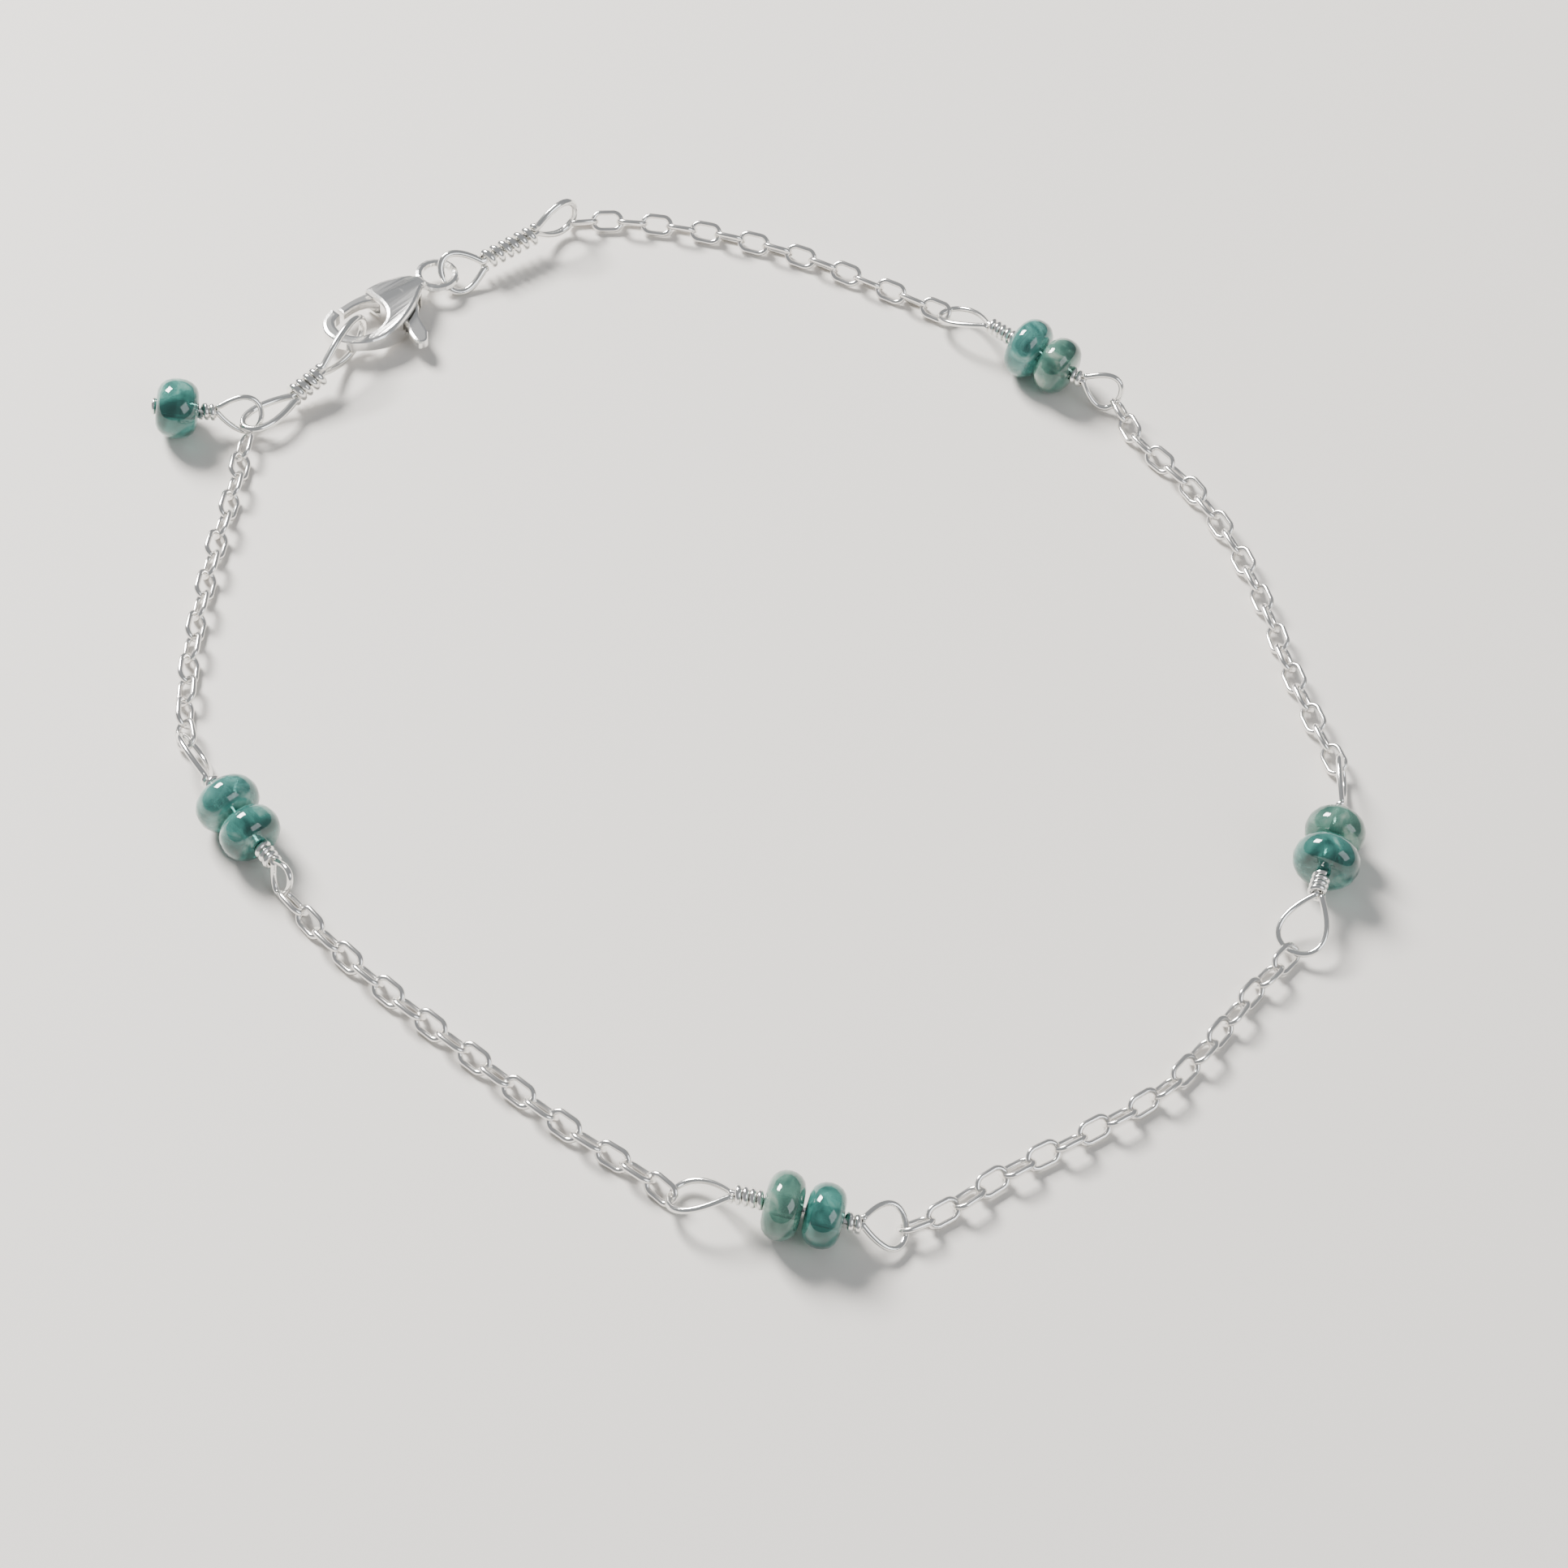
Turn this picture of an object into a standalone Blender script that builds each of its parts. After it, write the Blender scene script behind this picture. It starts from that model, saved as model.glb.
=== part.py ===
"""Beaded bracelet lying as a closed loop on a surface.

Four pairs of stone beads are wire-wrapped between stretches of fine cable chain. A lobster
clasp closes the loop, and a small bead drop hangs beside it. Sizes and places in the tables
are in millimetres; at() turns a place of the layout into metres.
"""
import math
from collections import namedtuple

import bmesh
import bpy
from mathutils import Matrix, Vector

MM = 0.001

# Middle of the bracelet's box in the layout, so that the origin lies under it
MIDDLE_X = -0.638
MIDDLE_Y = -0.052

# Wires and coils
STATION_WIRE = 0.32
LINK_WIRE = 0.42
COIL_TO_WIRE = 3.0
STRAND_OFFSET = 0.62
GAP = 0.3
COIL_GAP = 0.2
TUBE_RESOLUTION = 2
COIL_SIDES = 12
LOOP_STEPS = 14

# Beads
BORE_DIAMETER = STATION_WIRE + 2.0 * GAP
BEAD_TURNS = 16
BEAD_STEPS = 6
BEAD_FULLNESS = 0.7

# Chain: the tube holds the oval links, which are wider than it is by their wire
CHAIN_DIAMETER = 1.1
CHAIN_HEIGHT = 0.57
CHAIN_SPACING = 2.4

# Lobster clasp, in its own frame: X runs from the ring to the hook, -Y is the gate's side
CLASP_X = -20.0
CLASP_Y = 25.9
CLASP_TURN = 233.0
RING_RADIUS = 1.04
RING_WIRE = 0.48
RING_HEIGHT = 0.95
BODY_HEIGHT = 1.8
BODY_EDGE = 0.2
HOOK_LOW = 0.65
HOOK_HIGH = 1.4
NECK_LOW = 0.55
NECK_HIGH = 1.35
FLAT_FROM = 1.9
FLAT_TO = 3.4
HOOK_FROM = 7.2
PIVOT_X = 2.95
PIVOT_Y = 0.0
RIVET_DIAMETER = 0.6
SLOT_LOW = 0.45
SLOT_HIGH = 1.4
LEVER_GAP = 0.15
LEVER_BORE = 1.0

Bead = namedtuple("Bead", "x y diameter thickness")
Loop = namedtuple("Loop", "x y z width upright coil")
Station = namedtuple("Station", "number bead_a bead_b loop_a loop_b")

# upright is the loop's turn about its own length, 0 when flat and 90 when on edge;
# coil is the length of the wrapped coil next to the loop
STATIONS = (
    Station(1, Bead(13.8, 25.1, 3.5, 1.9), Bead(15.5, 24.1, 3.3, 1.9),
            Loop(8.9, 28.3, 0.7, 1.9, 10.0, 1.6), Loop(19.1, 22.7, 1.0, 1.9, 70.0, 0.6)),
    Station(2, Bead(30.9, -6.4, 3.1, 1.9), Bead(30.4, -8.4, 3.4, 1.9),
            Loop(31.4, -1.4, 1.0, 1.9, 70.0, 0.6), Loop(28.9, -13.4, 0.6, 2.2, 5.0, 1.2)),
    Station(3, Bead(5.4, -31.6, 3.3, 1.8), Bead(7.3, -31.8, 3.1, 1.8),
            Loop(0.2, -31.2, 0.6, 2.1, 20.0, 1.3), Loop(11.1, -31.4, 0.6, 2.0, 20.0, 0.7)),
    Station(4, Bead(-23.8, -13.1, 3.3, 1.9), Bead(-22.4, -14.6, 3.1, 1.9),
            Loop(-26.8, -8.9, 0.9, 1.9, 60.0, 0.6), Loop(-20.1, -17.4, 1.0, 1.9, 75.0, 1.0)),
)

# Wire link between the clasp's ring and the first chain: its coil's two ends, then its loops
CLASP_LINK_COIL = ((-17.6, 27.2, 1.2), (-14.9, 29.9, 1.4))
CLASP_LINK_RING_LOOP = Loop(-19.7, 25.9, 0.9, 2.1, 45.0, 0.0)
CLASP_LINK_CHAIN_LOOP = Loop(-13.0, 32.0, 1.5, 2.0, 90.0, 0.0)

# Wire link between the last chain and the clasp's hook
HOOK_LINK_COIL = ((-26.2, 15.2, 0.95), (-24.8, 16.8, 1.4))
HOOK_LINK_CHAIN_LOOP = Loop(-28.3, 12.6, 0.85, 1.4, 5.0, 0.0)
HOOK_LINK_TIP_X = 6.05
HOOK_LINK_TIP_Y = 0.45
HOOK_LINK_TIP_Z = 1.5
HOOK_LINK_HEIGHT = 2.1

# Drop: a bead on a headed pin whose loop hangs on the hook link's small loop
DROP_BEAD = Bead(-31.9, 12.6, 3.3, 2.3)
DROP_LOOP = Loop(-27.5, 13.3, 1.05, 1.8, 60.0, 0.8)
PIN_HEAD_DIAMETER = 1.3
PIN_HEAD_THICKNESS = 0.35

# Chain routes between the loops' tips, each point chosen on the links' centre line
Chain = namedtuple("Chain", "number start route end")
CHAINS = (
    Chain(1, (-13.0, 32.0), ((-10.3, 32.6), (-5.8, 32.6), (-0.3, 31.7), (5.1, 29.8)), (8.9, 28.3)),
    Chain(2, (19.1, 22.7), ((20.4, 20.1), (23.2, 17.2), (25.7, 13.3), (27.5, 9.0),
                            (28.7, 5.2), (30.2, 1.2)), (31.3, -1.4)),
    Chain(3, (28.9, -13.4), ((26.8, -16.3), (25.2, -18.9), (22.7, -22.3), (19.3, -25.1),
                             (15.5, -27.9), (12.8, -30.3)), (11.1, -31.4)),
    Chain(4, (0.2, -31.2), ((-1.3, -30.2), (-4.9, -28.3), (-9.7, -25.2), (-14.5, -22.0),
                            (-17.8, -19.5)), (-20.1, -17.4)),
    Chain(5, (-26.8, -8.9), ((-27.3, -7.1), (-27.9, -2.5), (-28.1, 3.5), (-28.0, 8.1)),
          (-28.1, 11.9)),
)


def clear_scene():
    for old in list(bpy.data.objects):
        bpy.data.objects.remove(old, do_unlink=True)


def new_collection(name):
    collection = bpy.data.collections.new(name)
    bpy.context.scene.collection.children.link(collection)
    return collection


def new_material(name, colour, roughness, metallic):
    material = bpy.data.materials.new(name)
    material.use_nodes = True
    shader = material.node_tree.nodes["Principled BSDF"]
    shader.inputs["Base Color"].default_value = (*colour, 1.0)
    shader.inputs["Roughness"].default_value = roughness
    shader.inputs["Metallic"].default_value = metallic
    return material


def silver(name):
    return new_material(name, (0.86, 0.85, 0.82), 0.16, 1.0)


def teal_stone(name):
    return new_material(name, (0.09, 0.32, 0.27), 0.12, 0.0)


def at(x, y, z=0.0):
    """A place of the layout, in metres from the point under the bracelet's middle."""
    return Vector((x - MIDDLE_X, y - MIDDLE_Y, z)) * MM


def in_clasp(x, y, z=0.0):
    """A place of the clasp's own frame, as a place of the layout in millimetres."""
    turn = math.radians(CLASP_TURN)
    return Vector((CLASP_X + x * math.cos(turn) - y * math.sin(turn),
                   CLASP_Y + x * math.sin(turn) + y * math.cos(turn), z))


def add_object(name, data, collection, material=None):
    item = bpy.data.objects.new(name, data)
    collection.objects.link(item)
    if material is not None:
        data.materials.append(material)
    return item


def as_guide(item):
    """A helper that another piece's Boolean reads, and not a piece itself."""
    item.hide_render = True
    item.display_type = "WIRE"
    return item


def tube_curve(name, points, diameter):
    """A round tube with closed ends along points, which are in metres."""
    curve = bpy.data.curves.new(name, "CURVE")
    curve.dimensions = "3D"
    curve.bevel_depth = 0.5 * diameter * MM
    curve.bevel_resolution = TUBE_RESOLUTION
    curve.use_fill_caps = True
    spline = curve.splines.new("POLY")
    spline.points.add(len(points) - 1)
    for knot, point in zip(spline.points, points):
        knot.co = (*point, 1.0)
    return curve


def curve_to_mesh(name, curve, collection, material):
    """The curve as a closed mesh object, with its loose caps welded."""
    source = bpy.data.objects.new(name, curve)
    collection.objects.link(source)
    graph = bpy.context.evaluated_depsgraph_get()
    mesh = bpy.data.meshes.new_from_object(source.evaluated_get(graph))
    item = add_object(name + "_mesh", mesh, collection, material)
    item.matrix_world = source.matrix_world.copy()
    bpy.data.objects.remove(source, do_unlink=True)
    item.name = name
    form = bmesh.new()
    form.from_mesh(mesh)
    bmesh.ops.remove_doubles(form, verts=form.verts, dist=0.001 * MM)
    bmesh.ops.recalc_face_normals(form, faces=form.faces)
    form.to_mesh(mesh)
    form.free()
    return item


def shade(item):
    item.data.shade_smooth()
    item.data.set_sharp_from_angle(angle=math.radians(40.0))


def cylinder(name, start, end, diameter, sides, collection):
    """A solid cylinder between two points in metres."""
    form = bmesh.new()
    length = (end - start).length
    bmesh.ops.create_cone(form, cap_ends=True, segments=sides, depth=length,
                          radius1=0.5 * diameter * MM, radius2=0.5 * diameter * MM)
    mesh = bpy.data.meshes.new(name)
    form.to_mesh(mesh)
    form.free()
    item = add_object(name, mesh, collection)
    turn = (end - start).to_track_quat("Z", "Y").to_matrix().to_4x4()
    item.matrix_world = Matrix.Translation((start + end) / 2.0) @ turn
    return item


def boolean(item, other, operation):
    modifier = item.modifiers.new(other.name, "BOOLEAN")
    modifier.operation = operation
    modifier.solver = "EXACT"
    modifier.object = other


def side_of(direction, upright):
    """The unit vector across a loop, level at 0 degrees and rising at 90."""
    level = direction.cross(Vector((0.0, 0.0, 1.0))).normalized()
    return Matrix.Rotation(math.radians(upright), 3, direction) @ level


def loop_points(base, inward, loop_tip, width, upright, wire, length):
    """Points of a wrapped loop, in metres: from inside its coil, round the tip and back.

    base is the coil's open end, inward runs from it into the coil, and length is how much
    of the coil the loop's two strands may take.
    """
    direction = (loop_tip - base).normalized()
    reach = (loop_tip - base).length
    side = side_of(direction, upright)
    across = (side - side.dot(inward) * inward).normalized()
    offset = STRAND_OFFSET * wire * MM
    half = 0.5 * width * MM
    widest = 0.7698
    points = [base + inward * 0.35 * length + across * offset, base + across * offset]
    for step in range(1, LOOP_STEPS):
        angle = 2.0 * math.pi * step / LOOP_STEPS
        along = reach * (1.0 - math.cos(angle)) / 2.0
        spread = half * math.sin(angle) * math.sin(angle / 2.0) / widest
        spread += offset * math.cos(angle / 2.0)
        points.append(base + direction * along + side * spread)
    points.append(base - across * offset)
    points.append(base + inward * 0.5 * length - across * offset)
    return points


def tip_of(loop):
    return at(loop.x, loop.y, loop.z)


def add_wire(name, points, coils, wire, pieces, guides):
    """One wire along points, joined with the coils wrapped round it."""
    item = curve_to_mesh(name, tube_curve(name, points, wire), pieces, silver(name))
    for number, (start, end) in enumerate(coils):
        coil_name = name + "_coil_" + str(number)
        coil = cylinder(coil_name, start, end, wire * COIL_TO_WIRE, COIL_SIDES, guides)
        boolean(item, as_guide(coil), "UNION")
    return item


def bead_centre(bead):
    return at(bead.x, bead.y, bead.diameter / 2.0)


def add_bead(name, bead, axis, pieces):
    """A rondelle turned about its bore, which lies along axis."""
    bore = 0.5 * BORE_DIAMETER
    radius = 0.5 * bead.diameter
    profile = []
    for step in range(BEAD_STEPS + 1):
        angle = math.pi * (0.5 - step / BEAD_STEPS)
        across = bore + (radius - bore) * max(math.cos(angle), 0.0) ** BEAD_FULLNESS
        profile.append(Vector((across, 0.0, 0.5 * bead.thickness * math.sin(angle))) * MM)
    edges = [(step, (step + 1) % len(profile)) for step in range(len(profile))]
    mesh = bpy.data.meshes.new(name)
    mesh.from_pydata(profile, edges, [])
    item = add_object(name, mesh, pieces, teal_stone(name))
    screw = item.modifiers.new("turned", "SCREW")
    screw.steps = BEAD_TURNS
    screw.render_steps = BEAD_TURNS
    screw.use_merge_vertices = True
    screw.merge_threshold = 0.001 * MM
    item.matrix_world = (Matrix.Translation(bead_centre(bead))
                         @ axis.to_track_quat("Z", "Y").to_matrix().to_4x4())
    return item


def add_station(station, pieces, guides):
    """Two beads on a wire that ends in a coil and a loop on both sides."""
    centre_a = bead_centre(station.bead_a)
    centre_b = bead_centre(station.bead_b)
    axis = (centre_b - centre_a).normalized()
    add_bead("bead_" + str(station.number) + "a", station.bead_a, axis, pieces)
    add_bead("bead_" + str(station.number) + "b", station.bead_b, axis, pieces)
    inner_a = centre_a - axis * (0.5 * station.bead_a.thickness + COIL_GAP) * MM
    inner_b = centre_b + axis * (0.5 * station.bead_b.thickness + COIL_GAP) * MM
    length_a = station.loop_a.coil * MM
    length_b = station.loop_b.coil * MM
    outer_a = inner_a - axis * length_a
    outer_b = inner_b + axis * length_b
    points = loop_points(outer_a, axis, tip_of(station.loop_a), station.loop_a.width,
                         station.loop_a.upright, STATION_WIRE, length_a)
    points += [inner_a, inner_b]
    points += reversed(loop_points(outer_b, -axis, tip_of(station.loop_b), station.loop_b.width,
                                   station.loop_b.upright, STATION_WIRE, length_b))
    add_wire("wire_" + str(station.number), points,
             ((outer_a, inner_a), (inner_b, outer_b)), STATION_WIRE, pieces, guides)


def add_link(name, coil, loop_a, loop_b, pieces, guides):
    """A wire link without a bead: one coil with a loop at both ends."""
    start = at(*coil[0])
    end = at(*coil[1])
    axis = (end - start).normalized()
    share = 0.45 * (end - start).length
    points = loop_points(start, axis, tip_of(loop_a), loop_a.width, loop_a.upright,
                         LINK_WIRE, share)
    points += reversed(loop_points(end, -axis, tip_of(loop_b), loop_b.width, loop_b.upright,
                                   LINK_WIRE, share))
    add_wire(name, points, ((start, end),), LINK_WIRE, pieces, guides)


def hook_loop():
    """The hook link's long loop, which stands on edge round the end of the hook."""
    tip = in_clasp(HOOK_LINK_TIP_X, HOOK_LINK_TIP_Y, HOOK_LINK_TIP_Z)
    return Loop(tip.x, tip.y, tip.z, HOOK_LINK_HEIGHT, 90.0, 0.0)


def add_drop(pieces, guides):
    """A bead on a headed pin, which ends in a coil and a loop."""
    centre = bead_centre(DROP_BEAD)
    tip = tip_of(DROP_LOOP)
    axis = (tip - centre).normalized()
    add_bead("drop_bead", DROP_BEAD, axis, pieces)
    face = 0.5 * DROP_BEAD.thickness * MM
    inner = centre + axis * (face + COIL_GAP * MM)
    length = DROP_LOOP.coil * MM
    outer = inner + axis * length
    head_face = centre - axis * (face + COIL_GAP * MM)
    head_end = head_face - axis * PIN_HEAD_THICKNESS * MM
    points = loop_points(outer, -axis, tip, DROP_LOOP.width, DROP_LOOP.upright,
                         STATION_WIRE, length)
    points += [inner, head_face - axis * 0.5 * PIN_HEAD_THICKNESS * MM]
    pin = add_wire("drop_pin", points, ((inner, outer),), STATION_WIRE, pieces, guides)
    head = cylinder("drop_pin_head", head_end, head_face, PIN_HEAD_DIAMETER, COIL_SIDES, guides)
    boolean(pin, as_guide(head), "UNION")


def smooth_route(knots, spacing):
    """Evenly spaced points on a smooth curve through knots."""
    padded = [2.0 * knots[0] - knots[1], *knots, 2.0 * knots[-1] - knots[-2]]
    fine = []
    for before, start, end, after in zip(padded, padded[1:], padded[2:], padded[3:]):
        for step in range(12):
            t = step / 12.0
            fine.append(0.5 * (2.0 * start + (end - before) * t
                               + (2.0 * before - 5.0 * start + 4.0 * end - after) * t * t
                               + (3.0 * start - before - 3.0 * end + after) * t ** 3))
    fine.append(knots[-1])
    length = sum((b - a).length for a, b in zip(fine, fine[1:]))
    count = max(2, round(length / spacing))
    points = [fine[0]]
    walked = 0.0
    for a, b in zip(fine, fine[1:]):
        piece = (b - a).length
        while len(points) < count and walked + piece >= len(points) * length / count:
            points.append(a.lerp(b, (len(points) * length / count - walked) / piece))
        walked += piece
    points.append(fine[-1])
    return points


def add_chain(chain, pieces):
    """A stretch of chain as one tube, ending just short of the loops that hold it."""
    clear = (0.5 * STATION_WIRE + GAP) * MM
    knots = [at(*place, CHAIN_HEIGHT) for place in (chain.start, *chain.route, chain.end)]
    knots[0] += (knots[1] - knots[0]).normalized() * clear
    knots[-1] += (knots[-2] - knots[-1]).normalized() * clear
    name = "chain_" + str(chain.number)
    points = smooth_route(knots, CHAIN_SPACING * MM)
    curve_to_mesh(name, tube_curve(name, points, CHAIN_DIAMETER), pieces, silver(name))


def outline_curve(name, outline, low, high, edge):
    """A flat form between two heights, with rounded edges, from a named outline.

    Each row of the outline holds x, y and whether the outline turns a sharp corner there.
    """
    curve = bpy.data.curves.new(name, "CURVE")
    curve.dimensions = "2D"
    curve.fill_mode = "BOTH"
    curve.resolution_u = 3
    curve.extrude = (0.5 * (high - low) - edge) * MM
    curve.bevel_depth = edge * MM
    curve.bevel_resolution = 1
    curve.offset = -edge * MM
    spline = curve.splines.new("BEZIER")
    spline.bezier_points.add(len(outline) - 1)
    spline.use_cyclic_u = True
    for knot, (x, y, corner) in zip(spline.bezier_points, outline):
        knot.co = Vector((x, y, 0.0)) * MM
        knot.handle_left_type = "VECTOR" if corner else "AUTO"
        knot.handle_right_type = "VECTOR" if corner else "AUTO"
    return curve


CLAW_OUTLINE = (
    (0.95, 0.4, True), (1.8, 0.72, False), (2.9, 1.35, False), (4.0, 1.8, False),
    (5.1, 2.0, False), (6.1, 1.88, False), (7.1, 1.3, False), (7.78, 0.45, False),
    (7.95, -0.35, False), (7.7, -1.05, False), (7.1, -1.55, False), (6.4, -1.7, True),
    (6.4, -1.08, True), (6.95, -0.9, False), (7.22, -0.35, False), (7.12, 0.35, False),
    (6.7, 0.9, False), (6.05, 1.2, False), (5.3, 1.2, False), (4.65, 0.85, False),
    (4.3, 0.1, False), (4.25, -0.7, False), (4.25, -1.35, True), (3.2, -1.2, False),
    (2.0, -0.75, False), (0.95, -0.4, True),
)

LEVER_OUTLINE = (
    (6.1, -1.62, True), (6.1, -1.1, True), (4.9, -1.05, False), (4.0, -0.5, False),
    (3.72, 0.3, False), (3.85, 1.4, False), (4.6, 3.0, False), (4.45, 3.5, False),
    (4.0, 3.5, False), (3.15, 1.9, False), (2.35, 0.9, False), (2.08, 0.0, False),
    (2.45, -0.8, False), (3.4, -1.25, False), (4.7, -1.58, False),
)

SLOT_OUTLINE = (
    (1.75, -0.5), (2.4, -1.1), (2.9, -2.4), (4.27, -2.4), (4.27, 2.6), (2.35, 2.6),
    (2.1, 1.1), (1.75, 0.5),
)


def ease(value, low, high):
    """0 below low, 1 above high and a smooth step between."""
    share = min(max((value - low) / (high - low), 0.0), 1.0)
    return share * share * (3.0 - 2.0 * share)


def shape_claw(mesh):
    """Thins the claw towards its hook and its neck, and leaves its underside flat between."""
    for vertex in mesh.vertices:
        x = vertex.co.x / MM
        share = vertex.co.z / (BODY_HEIGHT * MM) + 0.5
        hook = ease(x, FLAT_TO, HOOK_FROM)
        neck = ease(-x, -FLAT_FROM, -0.95)
        low = HOOK_LOW * hook + NECK_LOW * neck
        high = BODY_HEIGHT + (HOOK_HIGH - BODY_HEIGHT) * hook + (NECK_HIGH - BODY_HEIGHT) * neck
        vertex.co.z = (low + (high - low) * share) * MM


def prism(name, outline, low, high, guides):
    """A straight-sided cutter over a flat outline."""
    form = bmesh.new()
    corners = [form.verts.new(Vector((x, y, low)) * MM) for x, y in outline]
    base = form.faces.new(corners)
    sides = bmesh.ops.extrude_face_region(form, geom=[base])["geom"]
    moved = [part for part in sides if isinstance(part, bmesh.types.BMVert)]
    bmesh.ops.translate(form, verts=moved, vec=Vector((0.0, 0.0, high - low)) * MM)
    bmesh.ops.recalc_face_normals(form, faces=form.faces)
    mesh = bpy.data.meshes.new(name)
    form.to_mesh(mesh)
    form.free()
    return as_guide(add_object(name, mesh, guides))


def clasp_frame():
    turn = Matrix.Rotation(math.radians(CLASP_TURN), 4, "Z")
    return Matrix.Translation(at(CLASP_X, CLASP_Y)) @ turn


def add_ring(guides):
    bpy.ops.mesh.primitive_torus_add(major_segments=20, minor_segments=8,
                                     major_radius=RING_RADIUS * MM,
                                     minor_radius=0.5 * RING_WIRE * MM)
    ring = bpy.context.object
    ring.name = "clasp_ring"
    for owner in list(ring.users_collection):
        owner.objects.unlink(ring)
    guides.objects.link(ring)
    ring.matrix_world = clasp_frame() @ Matrix.Translation((0.0, 0.0, RING_HEIGHT * MM))
    return as_guide(ring)


def add_clasp_body(pieces, guides):
    """The cast claw with its lever slot, the rivet across the slot and the ring."""
    frame = clasp_frame()
    curve = outline_curve("clasp_body", CLAW_OUTLINE, 0.0, BODY_HEIGHT, BODY_EDGE)
    body = curve_to_mesh("clasp_body", curve, pieces, silver("clasp_body"))
    shape_claw(body.data)
    body.matrix_world = frame
    slot = prism("clasp_slot", SLOT_OUTLINE, SLOT_LOW, SLOT_HIGH, guides)
    slot.matrix_world = frame
    boolean(body, slot, "DIFFERENCE")
    foot = frame @ (Vector((PIVOT_X, PIVOT_Y, SLOT_LOW - 0.2)) * MM)
    top = frame @ (Vector((PIVOT_X, PIVOT_Y, SLOT_HIGH + 0.2)) * MM)
    rivet = cylinder("clasp_rivet", foot, top, RIVET_DIAMETER, COIL_SIDES, guides)
    boolean(body, as_guide(rivet), "UNION")
    boolean(body, add_ring(guides), "UNION")


def add_clasp_lever(pieces, guides):
    """The gate and thumb tab in one plate, with its origin on the rivet's axis."""
    low = SLOT_LOW + LEVER_GAP
    high = SLOT_HIGH - LEVER_GAP
    curve = outline_curve("clasp_lever", LEVER_OUTLINE, low, high, 0.15)
    lever = curve_to_mesh("clasp_lever", curve, pieces, silver("clasp_lever"))
    middle = 0.5 * (low + high) * MM
    lever.data.transform(Matrix.Translation((-PIVOT_X * MM, -PIVOT_Y * MM, 0.0)))
    pivot = Matrix.Translation((PIVOT_X * MM, PIVOT_Y * MM, middle))
    lever.matrix_world = clasp_frame() @ pivot
    axis_low = lever.matrix_world @ Vector((0.0, 0.0, -1.0 * MM))
    axis_high = lever.matrix_world @ Vector((0.0, 0.0, 1.0 * MM))
    bore = cylinder("lever_bore", axis_low, axis_high, LEVER_BORE, COIL_SIDES, guides)
    boolean(lever, as_guide(bore), "DIFFERENCE")


def main():
    clear_scene()
    pieces = new_collection("beaded_bracelet")
    guides = new_collection("cutters")
    add_clasp_body(pieces, guides)
    add_clasp_lever(pieces, guides)
    add_link("clasp_link", CLASP_LINK_COIL, CLASP_LINK_RING_LOOP, CLASP_LINK_CHAIN_LOOP,
             pieces, guides)
    add_link("hook_link", HOOK_LINK_COIL, HOOK_LINK_CHAIN_LOOP, hook_loop(), pieces, guides)
    add_drop(pieces, guides)
    for station in STATIONS:
        add_station(station, pieces, guides)
    for chain in CHAINS:
        add_chain(chain, pieces)


main()
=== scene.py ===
"""The looks of the beaded bracelet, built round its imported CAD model.

Each chain becomes separate oval links, each wire becomes one continuous wrapped wire, and the
beads become cloudy, translucent stones. The tables hold millimetres and degrees in the
bracelet's own layout, and at() turns a place in it into metres of the shared frame.
"""
import math
import random
from collections import namedtuple

import bpy
from mathutils import Matrix, Vector


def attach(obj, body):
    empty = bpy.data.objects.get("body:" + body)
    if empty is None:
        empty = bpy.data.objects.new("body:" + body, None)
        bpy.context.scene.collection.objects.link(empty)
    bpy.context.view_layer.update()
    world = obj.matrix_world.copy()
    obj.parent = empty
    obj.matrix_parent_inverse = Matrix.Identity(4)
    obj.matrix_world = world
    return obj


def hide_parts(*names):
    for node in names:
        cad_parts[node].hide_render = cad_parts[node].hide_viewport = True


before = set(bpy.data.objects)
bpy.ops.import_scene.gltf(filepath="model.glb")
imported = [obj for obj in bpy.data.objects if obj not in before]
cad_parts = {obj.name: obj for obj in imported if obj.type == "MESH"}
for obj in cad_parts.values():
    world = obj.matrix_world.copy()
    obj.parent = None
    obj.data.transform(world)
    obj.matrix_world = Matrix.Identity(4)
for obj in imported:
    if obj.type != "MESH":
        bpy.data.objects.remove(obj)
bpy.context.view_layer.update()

MM = 0.001
BODY = "bracelet"

# The point of the layout that lies at the shared frame's origin
MIDDLE_X = -0.638
MIDDLE_Y = -0.052

# Camera, worked out from the photograph's vanishing point and the even pitch of the links
CAMERA_PLACE = (3.1, -101.55, 124.0)
CAMERA_DOWN = 52.516
CAMERA_ROLL = 7.019
CAMERA_LENS = 70.81
SENSOR_WIDTH = 36.0
CLIP_START = 0.005

# Wires, their wrapped coils and their loops; a pitch is in wire diameters
STATION_WIRE = 0.32
LINK_WIRE = 0.42
COIL_GAP = 0.1
TIGHT_PITCH = 1.06
LOOSE_PITCH = 1.4
LOOP_STEPS = 40
LOOP_EASE = 3
TURN_STEPS = 16
FEWEST_COIL_STEPS = 8
WIRE_RESOLUTION = 4

# Largest value of sin(t) * sin(t / 2), the outline that the loops follow
TEARDROP_PEAK = 0.7698

# Chain links
LINK_LENGTH = 1.95
LINK_WIDTH = 1.3
LINK_THICKNESS = 0.3
LINK_PITCH = 1.42
LINK_HEIGHT = 0.57
LINK_STEPS = 24
LINK_SIDES = 8
LINK_ROLL = 45.0
LINK_JITTER = 9.0
LINK_SEED = 7
ROUTE_STEPS = 16

# Beads
BEAD_BORE = 0.7
BEAD_SIDES = 18
BEAD_ROWS = 10
BEAD_FULLNESS = 0.62
SHARP_ANGLE = 75.0

# The clasp's own frame: X runs from its ring to its hook
CLASP_X = -20.0
CLASP_Y = 25.9
CLASP_TURN = 233.0

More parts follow.
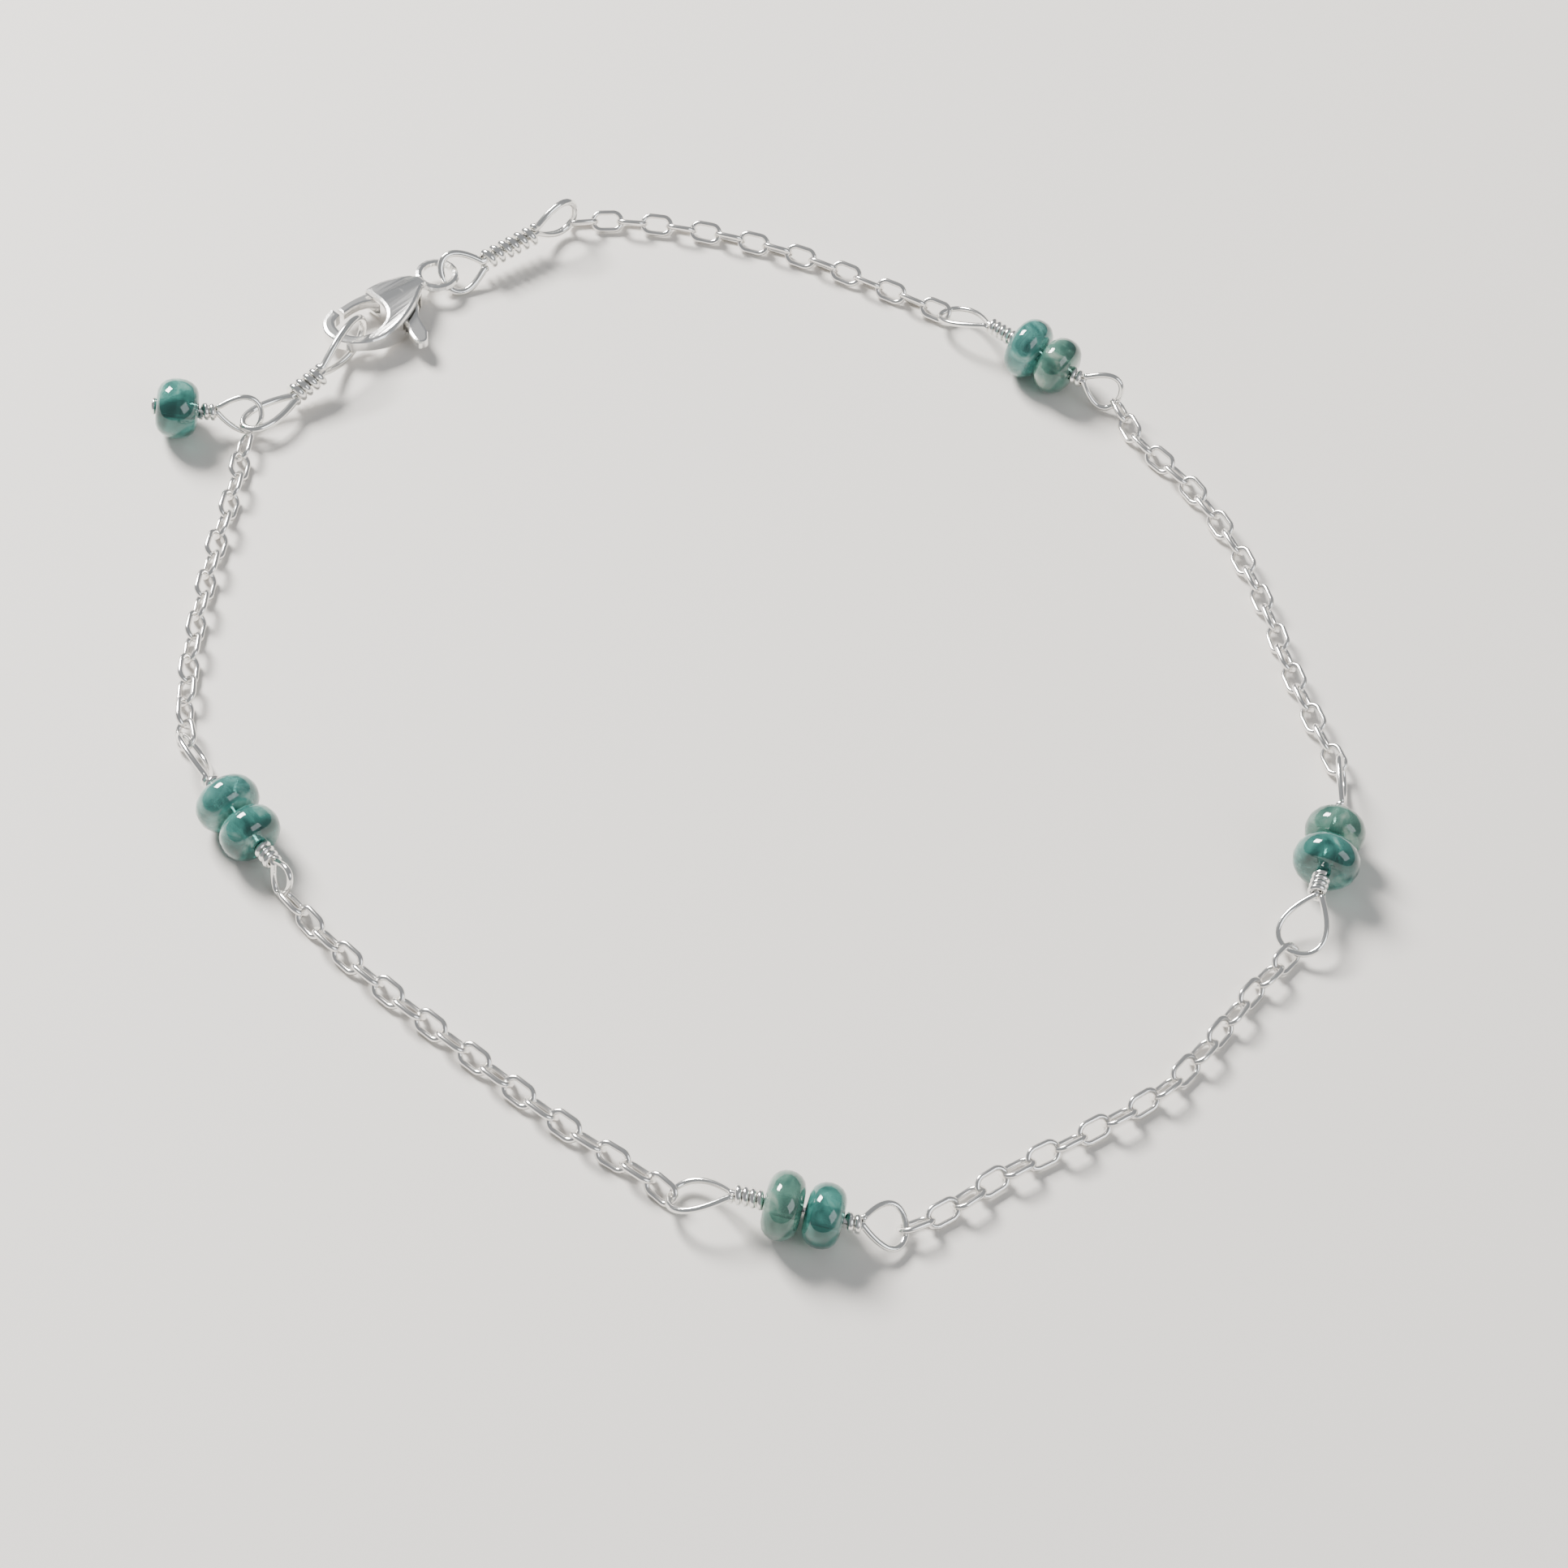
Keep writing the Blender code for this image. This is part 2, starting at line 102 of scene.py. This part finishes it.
# The hook link's long loop stands on edge round the hook: its tip is in the clasp's own frame
HOOK_LOOP_TIP_X = 6.05
HOOK_LOOP_TIP_Y = 0.45
HOOK_LOOP_TIP_Z = 1.5
HOOK_LOOP_WIDTH = 2.1

# Scales of the materials' noise, per metre of the shared frame
POLISH_GRAIN = 900.0
SCRATCH_GRAIN = 2500.0
STONE_GRAIN = 700.0

# Bump of the fine scratches, with its depth in metres
SCRATCH_STRENGTH = 0.05
SCRATCH_DEPTH = 0.00002

# Where each of a stone's three colours sits on the ramp that its noise runs through
DARK_AT = 0.36
LIGHT_AT = 0.56
CLOUD_AT = 0.7

# The way in which a stone's shift moves its noise, so that each kind of stone has its own clouds
SHIFT_WAY = (1.0, 0.37, 0.73)

Bead = namedtuple("Bead", "x y diameter thickness")
Loop = namedtuple("Loop", "x y z width upright coil")
Station = namedtuple("Station", "number bead_a bead_b loop_a loop_b")
Chain = namedtuple("Chain", "number start route end")
Light = namedtuple("Light", "name place size power colour")
Silver = namedtuple("Silver", "name colour roughness wear")
Stone = namedtuple("Stone", "name dark light cloud shift")

# A loop is given by its tip, and stands upright by so many degrees from lying level
STATIONS = (
    Station(1, Bead(13.8, 25.1, 3.5, 1.9), Bead(15.5, 24.1, 3.3, 1.9),
            Loop(8.9, 28.3, 0.7, 1.9, 10.0, 1.6), Loop(19.1, 22.7, 1.0, 1.9, 70.0, 0.6)),
    Station(2, Bead(30.9, -6.4, 3.1, 1.9), Bead(30.4, -8.4, 3.4, 1.9),
            Loop(31.4, -1.4, 1.0, 1.9, 70.0, 0.6), Loop(28.9, -13.4, 0.6, 2.2, 5.0, 1.2)),
    Station(3, Bead(5.4, -31.6, 3.3, 1.8), Bead(7.3, -31.8, 3.1, 1.8),
            Loop(0.2, -31.2, 0.6, 2.1, 20.0, 1.3), Loop(11.1, -31.4, 0.6, 2.0, 20.0, 0.7)),
    Station(4, Bead(-23.8, -13.1, 3.3, 1.9), Bead(-22.4, -14.6, 3.1, 1.9),
            Loop(-26.8, -8.9, 0.9, 1.9, 60.0, 0.6), Loop(-20.1, -17.4, 1.0, 1.9, 75.0, 1.0)),
)

# The two wire links and the drop: a coil is given by its two ends
CLASP_LINK_COIL = ((-17.6, 27.2, 1.2), (-14.9, 29.9, 1.4))
CLASP_LINK_RING_LOOP = Loop(-19.7, 25.9, 0.9, 2.1, -45.0, 0.0)
CLASP_LINK_CHAIN_LOOP = Loop(-13.0, 32.0, 1.5, 2.0, 90.0, 0.0)
HOOK_LINK_COIL = ((-26.2, 15.2, 0.95), (-24.8, 16.8, 1.4))
HOOK_LINK_CHAIN_LOOP = Loop(-28.3, 12.6, 0.85, 1.4, 5.0, 0.0)
DROP_BEAD = Bead(-31.9, 12.6, 3.3, 2.3)
DROP_LOOP = Loop(-27.5, 13.3, 1.05, 1.8, 60.0, 0.8)
PIN_HEAD = 0.95
PIN_HEAD_FLATNESS = 0.45
PIN_HEAD_SIDES = 24
PIN_HEAD_RINGS = 16

CHAINS = (
    Chain(1, (-13.0, 32.0), ((-10.3, 32.6), (-5.8, 32.6), (-0.3, 31.7), (5.1, 29.8)), (8.9, 28.3)),
    Chain(2, (19.1, 22.7), ((20.4, 20.1), (23.2, 17.2), (25.7, 13.3), (27.5, 9.0),
                            (28.7, 5.2), (30.2, 1.2)), (31.3, -1.4)),
    Chain(3, (28.9, -13.4), ((26.8, -16.3), (25.2, -18.9), (22.7, -22.3), (19.3, -25.1),
                             (15.5, -27.9), (12.8, -30.3)), (11.1, -31.4)),
    Chain(4, (0.2, -31.2), ((-1.3, -30.2), (-4.9, -28.3), (-9.7, -25.2), (-14.5, -22.0),
                            (-17.8, -19.5)), (-20.1, -17.4)),
    Chain(5, (-26.8, -8.9), ((-27.3, -7.1), (-27.9, -2.5), (-28.1, 3.5), (-28.0, 8.1)),
          (-28.1, 11.9)),
)

WIRE_SILVER = Silver("wire_silver", (0.93, 0.92, 0.89), 0.1, 0.08)
CHAIN_SILVER = Silver("chain_silver", (0.92, 0.9, 0.87), 0.13, 0.1)
CAST_SILVER = Silver("cast_silver", (0.94, 0.93, 0.91), 0.14, 0.1)
BLUE_TEAL = Stone("blue_teal", (0.02, 0.12, 0.11), (0.11, 0.36, 0.32), (0.36, 0.62, 0.55), 1.0)
GREY_GREEN = Stone("grey_green", (0.03, 0.11, 0.09), (0.12, 0.28, 0.22), (0.42, 0.55, 0.46), 4.0)
DEEP_TEAL = Stone("deep_teal", (0.015, 0.09, 0.08), (0.07, 0.29, 0.25), (0.28, 0.56, 0.48), 9.0)

# Floor, lights and sky, in metres of the shared frame and in watts
FLOOR_SIZE = 3.0
FLOOR_COLOUR = (0.76, 0.73, 0.69, 1.0)
FLOOR_ROUGHNESS = 0.6
LIGHTS = (
    Light("window", (-0.35, 0.32, 0.42), 0.22, 13.0, (1.0, 0.98, 0.95)),
    Light("fill", (0.4, -0.25, 0.35), 0.35, 1.2, (0.92, 0.96, 1.0)),
)
SKY_COLOUR = (0.85, 0.88, 0.92, 1.0)
SKY_STRENGTH = 0.38


def at(x, y, z=0.0):
    """A place of the layout in metres of the shared frame."""
    return Vector((x - MIDDLE_X, y - MIDDLE_Y, z)) * MM


def in_clasp(x, y):
    """A place of the clasp's own frame, in millimetres of the layout."""
    turn = math.radians(CLASP_TURN)
    return (CLASP_X + x * math.cos(turn) - y * math.sin(turn),
            CLASP_Y + x * math.sin(turn) + y * math.cos(turn))


def hook_loop():
    """The hook link's long loop, on edge round the end of the hook."""
    x, y = in_clasp(HOOK_LOOP_TIP_X, HOOK_LOOP_TIP_Y)
    return Loop(x, y, HOOK_LOOP_TIP_Z, HOOK_LOOP_WIDTH, 90.0, 0.0)


def new_shader(name):
    """A new material with its node tree and its shader."""
    material = bpy.data.materials.new(name)
    material.use_nodes = True
    tree = material.node_tree
    return material, tree, tree.nodes["Principled BSDF"]


def add_scratches(tree, shader):
    noise = tree.nodes.new("ShaderNodeTexNoise")
    noise.inputs["Scale"].default_value = SCRATCH_GRAIN
    bump = tree.nodes.new("ShaderNodeBump")
    bump.inputs["Strength"].default_value = SCRATCH_STRENGTH
    bump.inputs["Distance"].default_value = SCRATCH_DEPTH
    tree.links.new(noise.outputs["Fac"], bump.inputs["Height"])
    tree.links.new(bump.outputs["Normal"], shader.inputs["Normal"])


def silver_material(silver):
    """Polished silver with fine wear and a slightly uneven polish."""
    material, tree, shader = new_shader(silver.name)
    noise = tree.nodes.new("ShaderNodeTexNoise")
    noise.inputs["Scale"].default_value = POLISH_GRAIN
    noise.inputs["Detail"].default_value = 4.0
    polish = tree.nodes.new("ShaderNodeMapRange")
    polish.inputs["To Min"].default_value = silver.roughness
    polish.inputs["To Max"].default_value = silver.roughness + silver.wear
    tree.links.new(noise.outputs["Fac"], polish.inputs["Value"])
    tree.links.new(polish.outputs["Result"], shader.inputs["Roughness"])
    shader.inputs["Base Color"].default_value = (*silver.colour, 1.0)
    shader.inputs["Metallic"].default_value = 1.0
    add_scratches(tree, shader)
    return material


def stone_material(stone):
    """Translucent teal stone: dark and light growth, with pale cloudy inclusions."""
    material, tree, shader = new_shader(stone.name)
    place = tree.nodes.new("ShaderNodeTexCoord")
    shift = tree.nodes.new("ShaderNodeMapping")
    shift.inputs["Location"].default_value = [stone.shift * share for share in SHIFT_WAY]
    noise = tree.nodes.new("ShaderNodeTexNoise")
    noise.inputs["Scale"].default_value = STONE_GRAIN
    noise.inputs["Detail"].default_value = 5.0
    noise.inputs["Distortion"].default_value = 0.8
    ramp = tree.nodes.new("ShaderNodeValToRGB")
    ramp.color_ramp.elements[0].position = DARK_AT
    ramp.color_ramp.elements[0].color = (*stone.dark, 1.0)
    ramp.color_ramp.elements[1].position = LIGHT_AT
    ramp.color_ramp.elements[1].color = (*stone.light, 1.0)
    pale = ramp.color_ramp.elements.new(CLOUD_AT)
    pale.color = (*stone.cloud, 1.0)
    tree.links.new(place.outputs["Object"], shift.inputs["Vector"])
    tree.links.new(shift.outputs["Vector"], noise.inputs["Vector"])
    tree.links.new(noise.outputs["Fac"], ramp.inputs["Fac"])
    tree.links.new(ramp.outputs["Color"], shader.inputs["Base Color"])
    shader.inputs["Roughness"].default_value = 0.06
    shader.inputs["IOR"].default_value = 1.56
    shader.inputs["Transmission Weight"].default_value = 0.5
    shader.inputs["Coat Weight"].default_value = 0.4
    shader.inputs["Coat Roughness"].default_value = 0.04
    return material


def floor_material():
    material, _, shader = new_shader("pale_floor")
    shader.inputs["Base Color"].default_value = FLOOR_COLOUR
    shader.inputs["Roughness"].default_value = FLOOR_ROUGHNESS
    return material


def keep(item, material, slot, *nodes):
    """Gives a piece its material, its body and the CAD nodes that it stands for; its slot is not
    used.
    """
    item.data.materials.append(material)
    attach(item, BODY)
    if nodes:
        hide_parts(*nodes)


def mesh_object(name, points, faces):
    """A smooth-shaded mesh, from points in metres."""
    mesh = bpy.data.meshes.new(name)
    mesh.from_pydata(points, [], faces)
    mesh.update()
    mesh.shade_smooth()
    item = bpy.data.objects.new(name, mesh)
    bpy.context.scene.collection.objects.link(item)
    return item


def wire_object(name, points, diameter):
    """A round wire with closed ends as a mesh, along points in metres."""
    curve = bpy.data.curves.new(name, "CURVE")
    curve.dimensions = "3D"
    curve.bevel_depth = 0.5 * diameter * MM
    curve.bevel_resolution = WIRE_RESOLUTION
    curve.use_fill_caps = True
    spline = curve.splines.new("POLY")
    spline.points.add(len(points) - 1)
    for knot, point in zip(spline.points, points):
        knot.co = (*point, 1.0)
    source = bpy.data.objects.new(name + "_route", curve)
    bpy.context.scene.collection.objects.link(source)
    graph = bpy.context.evaluated_depsgraph_get()
    mesh = bpy.data.meshes.new_from_object(source.evaluated_get(graph))
    bpy.data.objects.remove(source, do_unlink=True)
    mesh.shade_smooth()
    item = bpy.data.objects.new(name, mesh)
    bpy.context.scene.collection.objects.link(item)
    return item


def side_of(direction, upright):
    """The unit vector across a loop, level at 0 degrees and rising at 90."""
    level = direction.cross(Vector((0.0, 0.0, 1.0))).normalized()
    return Matrix.Rotation(math.radians(upright), 3, direction) @ level


def wrapped_end(base, inward, tip, width, upright, wire, length, pitch):
    """One wrapped loop: the wraps from their inner end, the teardrop, then the core's start.

    The wraps wind one wire diameter off the core's line. The loop leaves them at that distance
    and eases onto the core's line on its way round.
    """
    direction = (tip - base).normalized()
    reach = (tip - base).length
    side = side_of(direction, upright)
    across = (side - side.dot(inward) * inward).normalized()
    turns = length / (pitch * wire * MM)
    count = max(FEWEST_COIL_STEPS, round(turns * TURN_STEPS))
    offset = wire * MM
    points = []
    for step in range(count, -1, -1):
        angle = 2.0 * math.pi * turns * step / count
        radial = Matrix.Rotation(angle, 3, inward) @ (-across)
        points.append(base + inward * (length * step / count) + radial * offset)
    half = 0.5 * width * MM
    for step in range(1, LOOP_STEPS):
        angle = 2.0 * math.pi * (1.0 - step / LOOP_STEPS)
        along = reach * (1.0 - math.cos(angle)) / 2.0
        spread = half * math.sin(angle) * math.sin(angle / 2.0) / TEARDROP_PEAK
        spread -= offset * (angle / (2.0 * math.pi)) ** LOOP_EASE
        points.append(base + direction * along + side * spread)
    points.append(base)
    return points


def tip_of(loop):
    return at(loop.x, loop.y, loop.z)


def bead_centre(bead):
    return at(bead.x, bead.y, bead.diameter / 2.0)


def add_bead(node, bead, axis, material):
    """A rondelle turned round its wire, shaded smooth but for the rims of its hole."""
    bore = 0.5 * BEAD_BORE
    radius = 0.5 * bead.diameter
    profile = []
    for step in range(BEAD_ROWS + 1):
        angle = math.pi * (0.5 - step / BEAD_ROWS)
        out = bore + (radius - bore) * max(math.cos(angle), 0.0) ** BEAD_FULLNESS
        profile.append((out, 0.5 * bead.thickness * math.sin(angle)))
    turn = Matrix.Translation(bead_centre(bead)) @ axis.to_track_quat("Z", "Y").to_matrix().to_4x4()
    points = []
    for side in range(BEAD_SIDES):
        angle = 2.0 * math.pi * side / BEAD_SIDES
        for out, height in profile:
            spot = Vector((out * math.cos(angle), out * math.sin(angle), height)) * MM
            points.append(turn @ spot)
    rows = len(profile)
    faces = []
    for side in range(BEAD_SIDES):
        here = side * rows
        there = ((side + 1) % BEAD_SIDES) * rows
        for row in range(rows):
            below = (row + 1) % rows
            faces.append((here + row, here + below, there + below, there + row))
    item = mesh_object(node + "_stone", points, faces)
    item.data.set_sharp_from_angle(angle=math.radians(SHARP_ANGLE))
    keep(item, material, "teal_stone", node)


def add_station(station, metal, stones):
    """Two beads on one wire, which is wrapped and looped at both ends."""
    centre_a = bead_centre(station.bead_a)
    centre_b = bead_centre(station.bead_b)
    axis = (centre_b - centre_a).normalized()
    add_bead("bead_" + str(station.number) + "a", station.bead_a, axis, stones[0])
    add_bead("bead_" + str(station.number) + "b", station.bead_b, axis, stones[1])
    inner_a = centre_a - axis * (0.5 * station.bead_a.thickness + COIL_GAP) * MM
    inner_b = centre_b + axis * (0.5 * station.bead_b.thickness + COIL_GAP) * MM
    length_a = (station.loop_a.coil + COIL_GAP) * MM
    length_b = (station.loop_b.coil + COIL_GAP) * MM
    outer_a = inner_a - axis * length_a
    outer_b = inner_b + axis * length_b
    points = wrapped_end(outer_a, axis, tip_of(station.loop_a), station.loop_a.width,
                         station.loop_a.upright, STATION_WIRE, length_a, TIGHT_PITCH)
    points += reversed(wrapped_end(outer_b, -axis, tip_of(station.loop_b), station.loop_b.width,
                                   station.loop_b.upright, STATION_WIRE, length_b, TIGHT_PITCH))
    node = "wire_" + str(station.number)
    keep(wire_object(node + "_wrapped", points, STATION_WIRE), metal, "silver_wire", node)


def add_link(node, coil, loop_a, loop_b, pitch, metal):
    """A wire link without a bead, wrapped from both loops towards the coil's middle."""
    start = at(*coil[0])
    end = at(*coil[1])
    axis = (end - start).normalized()
    share = 0.5 * (end - start).length
    points = wrapped_end(start, axis, tip_of(loop_a), loop_a.width, loop_a.upright,
                         LINK_WIRE, share, pitch)
    points += reversed(wrapped_end(end, -axis, tip_of(loop_b), loop_b.width, loop_b.upright,
                                   LINK_WIRE, share, pitch))
    keep(wire_object(node + "_wrapped", points, LINK_WIRE), metal, "silver_wire", node)


def add_drop(metal, material):
    """The bead on its headed pin, with the pin's wrapped loop."""
    centre = bead_centre(DROP_BEAD)
    tip = tip_of(DROP_LOOP)
    axis = (tip - centre).normalized()
    add_bead("drop_bead", DROP_BEAD, axis, material)
    face = (0.5 * DROP_BEAD.thickness + COIL_GAP) * MM
    inner = centre + axis * face
    length = (DROP_LOOP.coil + COIL_GAP) * MM
    points = wrapped_end(inner + axis * length, -axis, tip, DROP_LOOP.width, DROP_LOOP.upright,
                         STATION_WIRE, length, TIGHT_PITCH)
    points.append(centre - axis * face)
    keep(wire_object("drop_pin_wrapped", points, STATION_WIRE), metal, "silver_wire",
         "drop_pin")
    bpy.ops.mesh.primitive_uv_sphere_add(segments=PIN_HEAD_SIDES, ring_count=PIN_HEAD_RINGS,
                                         radius=0.5 * PIN_HEAD * MM,
                                         location=centre - axis * face)
    head = bpy.context.object
    head.name = "drop_pin_head"
    head.scale = (1.0, 1.0, PIN_HEAD_FLATNESS)
    head.rotation_euler = axis.to_track_quat("Z", "Y").to_euler()
    bpy.ops.object.transform_apply(location=False, rotation=True, scale=True)
    head.data.shade_smooth()
    keep(head, metal, "silver_wire")


def smooth_route(knots):
    """Closely spaced points on a smooth curve through knots."""
    padded = [2.0 * knots[0] - knots[1], *knots, 2.0 * knots[-1] - knots[-2]]
    fine = []
    for before, start, end, after in zip(padded, padded[1:], padded[2:], padded[3:]):
        for step in range(ROUTE_STEPS):
            t = step / ROUTE_STEPS
            fine.append(0.5 * (2.0 * start + (end - before) * t
                               + (2.0 * before - 5.0 * start + 4.0 * end - after) * t * t
                               + (3.0 * start - before - 3.0 * end + after) * t ** 3))
    fine.append(knots[-1])
    return fine


def along(route, distance):
    """The place and direction at a distance along a route."""
    walked = 0.0
    for start, end in zip(route, route[1:]):
        piece = (end - start).length
        if walked + piece >= distance:
            return start.lerp(end, (distance - walked) / piece), (end - start).normalized()
        walked += piece
    return route[-1], (route[-1] - route[-2]).normalized()


def link_form():
    """Points and faces of one oval link along X, in metres."""
    straight = 0.5 * (LINK_LENGTH - LINK_WIDTH) * MM
    bend = 0.5 * (LINK_WIDTH - LINK_THICKNESS) * MM
    radius = 0.5 * LINK_THICKNESS * MM
    points = []
    for step in range(LINK_STEPS):
        angle = 2.0 * math.pi * (step + 0.5) / LINK_STEPS
        centre = Vector((math.copysign(straight, math.cos(angle)) + bend * math.cos(angle),
                         bend * math.sin(angle), 0.0))
        outward = Vector((math.cos(angle), math.sin(angle), 0.0))
        for side in range(LINK_SIDES):
            turn = 2.0 * math.pi * side / LINK_SIDES
            points.append(centre + radius * (outward * math.cos(turn)
                                             + Vector((0.0, 0.0, math.sin(turn)))))
    faces = []
    for step in range(LINK_STEPS):
        ahead = (step + 1) % LINK_STEPS
        for side in range(LINK_SIDES):
            above = (side + 1) % LINK_SIDES
            faces.append((step * LINK_SIDES + side, ahead * LINK_SIDES + side,
                          ahead * LINK_SIDES + above, step * LINK_SIDES + above))
    return points, faces


def add_chain(chain, metal, draw):
    """A stretch of chain as separate links, each rolled against its neighbours.

    Its end links hook the wire loops: they reach past a loop's tip by their own wire and half
    of a station's wire.
    """
    knots = [at(*place, LINK_HEIGHT) for place in (chain.start, *chain.route, chain.end)]
    route = smooth_route(knots)
    length = sum((b - a).length for a, b in zip(route, route[1:]))
    inset = (0.5 * LINK_LENGTH - LINK_THICKNESS - 0.5 * STATION_WIRE) * MM
    count = max(2, round((length - 2.0 * inset) / (LINK_PITCH * MM)) + 1)
    form, form_faces = link_form()
    points = []
    faces = []
    for number in range(count):
        place, direction = along(route, inset + (length - 2.0 * inset) * number / (count - 1))
        level = Vector((0.0, 0.0, 1.0)).cross(direction).normalized()
        up = direction.cross(level)
        lean = LINK_ROLL * (1.0 if number % 2 else -1.0) + draw.uniform(-LINK_JITTER, LINK_JITTER)
        roll = math.radians(lean)
        across = level * math.cos(roll) + up * math.sin(roll)
        normal = direction.cross(across)
        offset = len(points)
        for point in form:
            points.append(place + direction * point.x + across * point.y + normal * point.z)
        faces += [tuple(offset + corner for corner in face) for face in form_faces]
    node = "chain_" + str(chain.number)
    keep(mesh_object(node + "_links", points, faces), metal, "silver_chain", node)


def add_floor():
    bpy.ops.mesh.primitive_plane_add(size=FLOOR_SIZE, location=(0.0, 0.0, 0.0))
    floor = bpy.context.object
    floor.name = "floor"
    floor.data.materials.append(floor_material())


def add_area_light(light):
    """A square light that faces the bracelet's middle."""
    data = bpy.data.lights.new(light.name, "AREA")
    data.size = light.size
    data.energy = light.power
    data.color = light.colour
    item = bpy.data.objects.new(light.name, data)
    bpy.context.scene.collection.objects.link(item)
    item.location = light.place
    item.rotation_euler = (-Vector(light.place)).to_track_quat("-Z", "Y").to_euler()


def add_lighting():
    for light in LIGHTS:
        add_area_light(light)
    world = bpy.data.worlds.new("studio")
    bpy.context.scene.world = world
    world.use_nodes = True
    backdrop = world.node_tree.nodes["Background"]
    backdrop.inputs["Color"].default_value = SKY_COLOUR
    backdrop.inputs["Strength"].default_value = SKY_STRENGTH


def add_camera():
    """The photograph's viewing angle: tilted down, then rolled about its own axis."""
    down = math.radians(CAMERA_DOWN)
    roll = math.radians(CAMERA_ROLL)
    ahead = Vector((0.0, math.cos(down), -math.sin(down)))
    up = Vector((0.0, math.sin(down), math.cos(down)))
    right = Vector((1.0, 0.0, 0.0))
    camera_right = math.cos(roll) * right + math.sin(roll) * up
    camera_up = -math.sin(roll) * right + math.cos(roll) * up
    camera = bpy.data.objects.new("camera", bpy.data.cameras.new("camera"))
    camera.data.lens = CAMERA_LENS
    camera.data.sensor_width = SENSOR_WIDTH
    camera.data.clip_start = CLIP_START
    bpy.context.scene.collection.objects.link(camera)
    turn = Matrix((camera_right, camera_up, -ahead)).transposed().to_4x4()
    camera.matrix_world = Matrix.Translation(at(*CAMERA_PLACE)) @ turn
    bpy.context.scene.camera = camera


def dress_cad_nodes(cast):
    """Puts the cast silver on the clasp's two CAD nodes, which stay in view."""
    for node in ("clasp_body", "clasp_lever"):
        item = bpy.data.objects[node]
        for slot in item.material_slots:
            slot.material = cast


def main():
    wire_silver = silver_material(WIRE_SILVER)
    chain_silver = silver_material(CHAIN_SILVER)
    cast_silver = silver_material(CAST_SILVER)
    blue_teal = stone_material(BLUE_TEAL)
    grey_green = stone_material(GREY_GREEN)
    deep_teal = stone_material(DEEP_TEAL)
    stones = ((blue_teal, grey_green), (grey_green, deep_teal), (grey_green, deep_teal),
              (blue_teal, deep_teal))
    dress_cad_nodes(cast_silver)
    for station, pair in zip(STATIONS, stones):
        add_station(station, wire_silver, pair)
    add_link("clasp_link", CLASP_LINK_COIL, CLASP_LINK_RING_LOOP, CLASP_LINK_CHAIN_LOOP,
             LOOSE_PITCH, wire_silver)
    add_link("hook_link", HOOK_LINK_COIL, HOOK_LINK_CHAIN_LOOP, hook_loop(), TIGHT_PITCH,
             wire_silver)
    add_drop(wire_silver, deep_teal)
    draw = random.Random(LINK_SEED)
    for chain in CHAINS:
        add_chain(chain, chain_silver, draw)
    add_floor()
    add_lighting()
    add_camera()


main()
